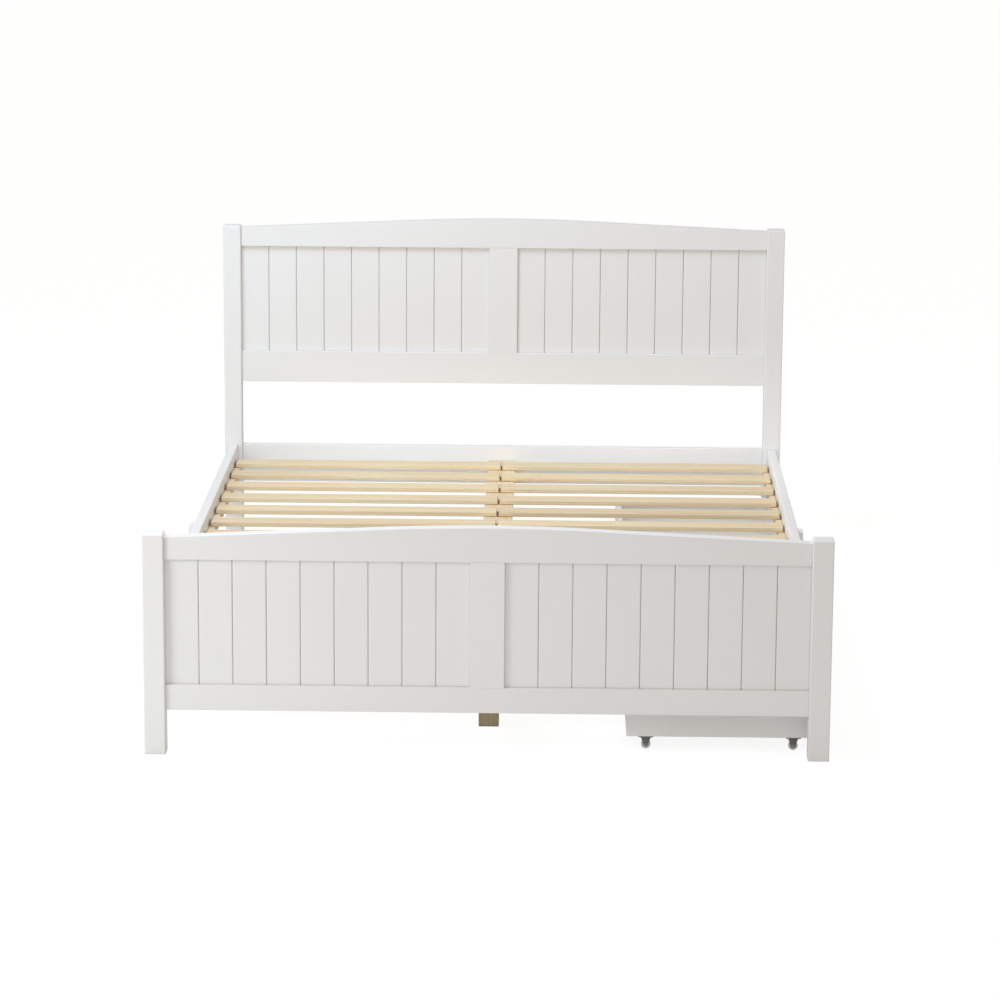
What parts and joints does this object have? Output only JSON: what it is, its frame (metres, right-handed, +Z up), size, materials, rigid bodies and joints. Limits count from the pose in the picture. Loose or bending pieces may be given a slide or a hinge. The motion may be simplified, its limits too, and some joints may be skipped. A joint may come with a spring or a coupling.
{
  "type": "bed frame",
  "caption": "Low painted wooden double bed frame with arched tongue-and-groove end boards, pine slats on ledgers and a centre beam, and castered under-bed drawers on one side.",
  "frame": {"origin": "on the floor under the middle of the bed", "axes": "+Y from foot to head along the length, +X across towards the drawer side, +Z up"},
  "size_m": [1.45, 1.982, 0.8785],
  "materials": {
    "white_paint": "satin white paint on pine",
    "raw_pine": "planed bare pine",
    "drawer_board": "white melamine-faced board and hardboard",
    "zinc_steel": "bright zinc plate",
    "caster_plastic": "moulded grey nylon",
    "wheel_plastic": "pale translucent polypropylene"
  },
  "bodies": {
    "frame": {"head_post_left": "white_paint", "head_post_right": "white_paint", "foot_post_left": "white_paint", "foot_post_right": "white_paint", "head_top_rail": "white_paint", "head_bottom_rail": "white_paint", "head_cross_rail": "white_paint", "head_stile": "white_paint", "head_planks_left": "white_paint", "head_planks_right": "white_paint", "foot_top_rail": "white_paint", "foot_bottom_rail": "white_paint", "foot_stile": "white_paint", "foot_planks_left": "white_paint", "foot_planks_right": "white_paint", "side_rail_left": "white_paint", "side_rail_right": "white_paint", "slat_ledger_left": "raw_pine", "slat_ledger_right": "raw_pine", "centre_beam": "raw_pine", "centre_legs": "raw_pine", "mid_leg_left": "white_paint", "mid_leg_right": "white_paint", "slats_left": "raw_pine", "slats_right": "raw_pine", "slat_pins": "raw_pine", "beam_angles": "zinc_steel", "bed_bolts": "zinc_steel", "half_moon_nuts": "zinc_steel", "rail_dowels": "raw_pine", "wood_screws": "zinc_steel", "leg_bolts": "zinc_steel"},
    "drawer_foot": {"drawer_foot_front": "white_paint", "drawer_foot_back": "drawer_board", "drawer_foot_side_foot": "drawer_board", "drawer_foot_side_head": "drawer_board", "drawer_foot_bottom": "drawer_board", "drawer_foot_battens": "raw_pine", "drawer_foot_dowels": "raw_pine", "drawer_foot_casters": "caster_plastic", "drawer_foot_axles": "zinc_steel", "drawer_foot_screws": "zinc_steel"},
    "drawer_foot_wheel_1": {"drawer_foot_wheel_1": "wheel_plastic"},
    "drawer_foot_wheel_2": {"drawer_foot_wheel_2": "wheel_plastic"},
    "drawer_foot_wheel_3": {"drawer_foot_wheel_3": "wheel_plastic"},
    "drawer_foot_wheel_4": {"drawer_foot_wheel_4": "wheel_plastic"},
    "drawer_head": {"drawer_head_front": "white_paint", "drawer_head_back": "drawer_board", "drawer_head_side_foot": "drawer_board", "drawer_head_side_head": "drawer_board", "drawer_head_bottom": "drawer_board", "drawer_head_battens": "raw_pine", "drawer_head_dowels": "raw_pine", "drawer_head_casters": "caster_plastic", "drawer_head_axles": "zinc_steel", "drawer_head_screws": "zinc_steel"},
    "drawer_head_wheel_1": {"drawer_head_wheel_1": "wheel_plastic"},
    "drawer_head_wheel_2": {"drawer_head_wheel_2": "wheel_plastic"},
    "drawer_head_wheel_3": {"drawer_head_wheel_3": "wheel_plastic"},
    "drawer_head_wheel_4": {"drawer_head_wheel_4": "wheel_plastic"}
  },
  "joints": [
    {"name": "drawer_foot_slide", "type": "slide", "parent": "frame", "child": "drawer_foot", "axis": [1, 0, 0], "range_m": [0, 0.4]},
    {"name": "drawer_foot_wheel_1_spin", "type": "hinge", "parent": "drawer_foot", "child": "drawer_foot_wheel_1", "pos_m": [0.339, -0.9005, 0.01], "axis": [0, 1, 0], "continuous": true},
    {"name": "drawer_foot_wheel_2_spin", "type": "hinge", "parent": "drawer_foot", "child": "drawer_foot_wheel_2", "pos_m": [0.6535, -0.9005, 0.01], "axis": [0, 1, 0], "continuous": true},
    {"name": "drawer_foot_wheel_3_spin", "type": "hinge", "parent": "drawer_foot", "child": "drawer_foot_wheel_3", "pos_m": [0.6535, -0.068, 0.01], "axis": [0, 1, 0], "continuous": true},
    {"name": "drawer_foot_wheel_4_spin", "type": "hinge", "parent": "drawer_foot", "child": "drawer_foot_wheel_4", "pos_m": [0.339, -0.068, 0.01], "axis": [0, 1, 0], "continuous": true},
    {"name": "drawer_head_slide", "type": "slide", "parent": "frame", "child": "drawer_head", "axis": [1, 0, 0], "range_m": [0, 0.4]},
    {"name": "drawer_head_wheel_1_spin", "type": "hinge", "parent": "drawer_head", "child": "drawer_head_wheel_1", "pos_m": [0.339, 0.068, 0.01], "axis": [0, 1, 0], "continuous": true},
    {"name": "drawer_head_wheel_2_spin", "type": "hinge", "parent": "drawer_head", "child": "drawer_head_wheel_2", "pos_m": [0.6535, 0.068, 0.01], "axis": [0, 1, 0], "continuous": true},
    {"name": "drawer_head_wheel_3_spin", "type": "hinge", "parent": "drawer_head", "child": "drawer_head_wheel_3", "pos_m": [0.6535, 0.9005, 0.01], "axis": [0, 1, 0], "continuous": true},
    {"name": "drawer_head_wheel_4_spin", "type": "hinge", "parent": "drawer_head", "child": "drawer_head_wheel_4", "pos_m": [0.339, 0.9005, 0.01], "axis": [0, 1, 0], "continuous": true}
  ]
}
